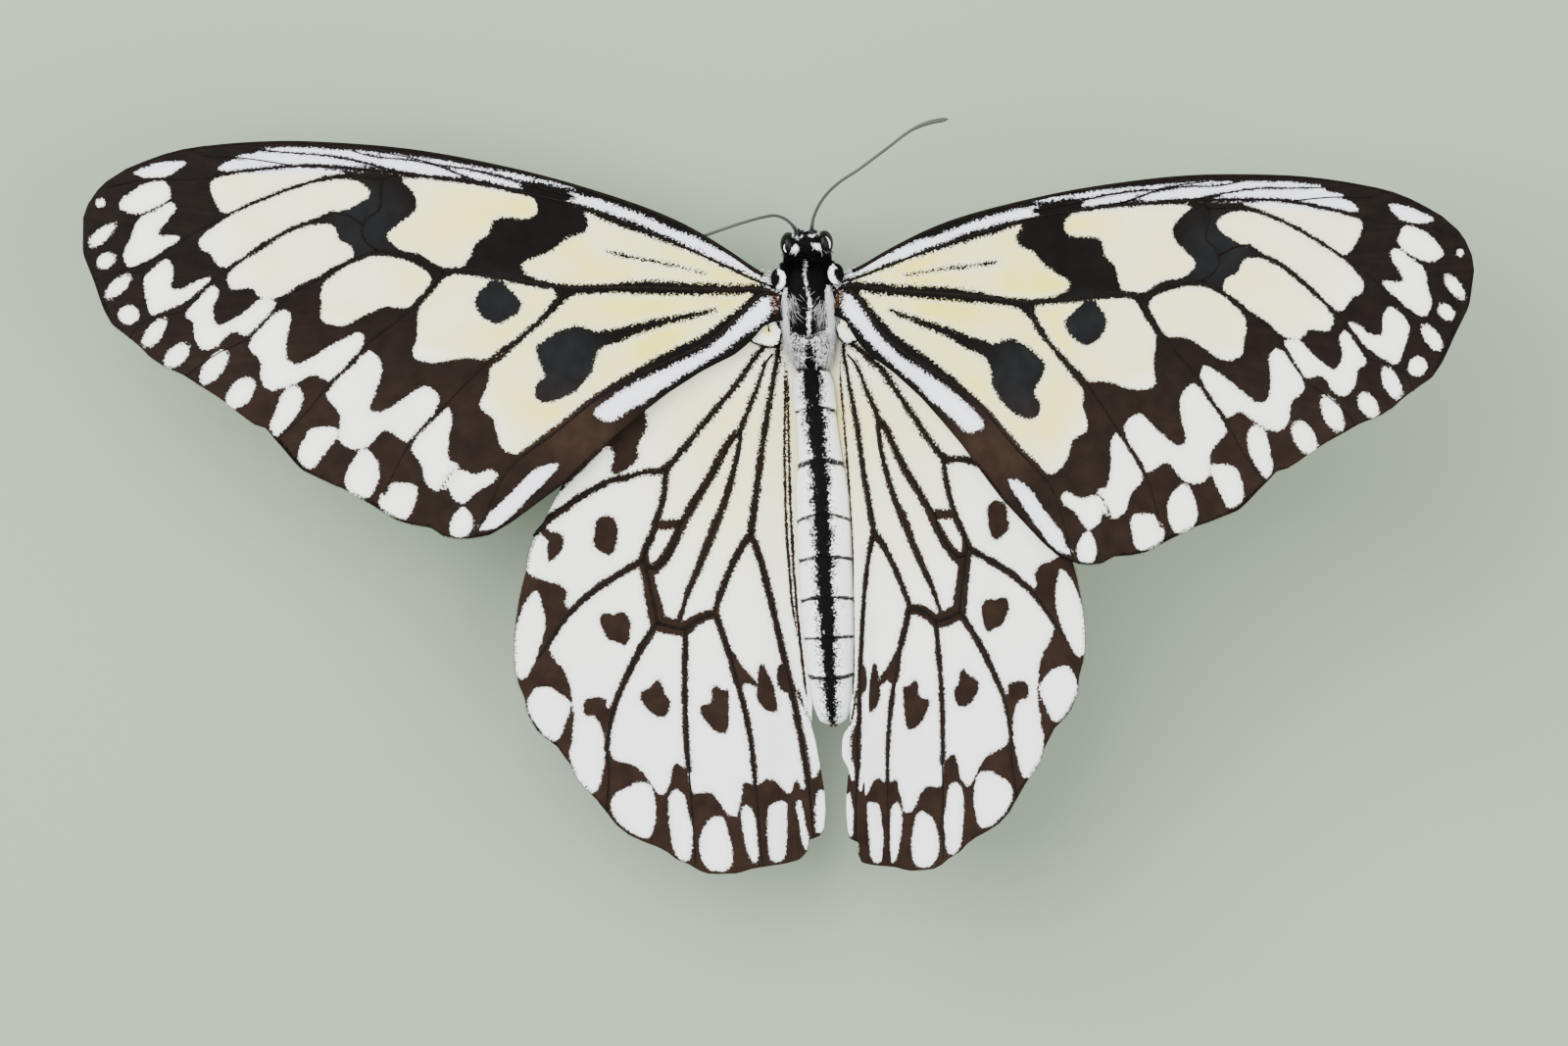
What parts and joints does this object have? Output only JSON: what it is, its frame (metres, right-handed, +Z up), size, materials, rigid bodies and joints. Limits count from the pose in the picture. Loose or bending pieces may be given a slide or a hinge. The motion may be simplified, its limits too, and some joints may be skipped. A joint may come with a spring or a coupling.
{
  "type": "paper kite butterfly",
  "caption": "Life-size paper kite butterfly standing with its cream and black veined wings spread, the right pair raised higher.",
  "frame": {"origin": "on the floor under the middle of the whole model's box", "axes": "+Y towards the head, +X towards the butterfly's right wings, +Z up from the floor that the feet stand on"},
  "size_m": [0.1186, 0.0654, 0.0384],
  "materials": {
    "wing": "wing membrane under fine cream scales, with black scales along the veins and in blotches; dry and almost matt",
    "body": "black scales and short hair with white lines and spots; soft and matt",
    "eye": "dark compound eye, finely faceted, glossy",
    "cuticle": "dark grey-brown cuticle of legs, feelers and tongue, slightly glossy"
  },
  "bodies": {
    "root": {"head": "body", "eye_l": "eye", "eye_r": "eye", "palp_l": "body", "palp_r": "body", "proboscis": "cuticle", "antenna_l": "cuticle", "antenna_r": "cuticle", "thorax": "body", "abdomen": "body", "forewing_l": "wing", "forewing_r": "wing", "hindwing_l": "wing", "hindwing_r": "wing", "leg_fore_l": "cuticle", "leg_fore_r": "cuticle", "leg_mid_l": "cuticle", "leg_mid_r": "cuticle", "leg_hind_l": "cuticle", "leg_hind_r": "cuticle"}
  },
  "joints": []
}
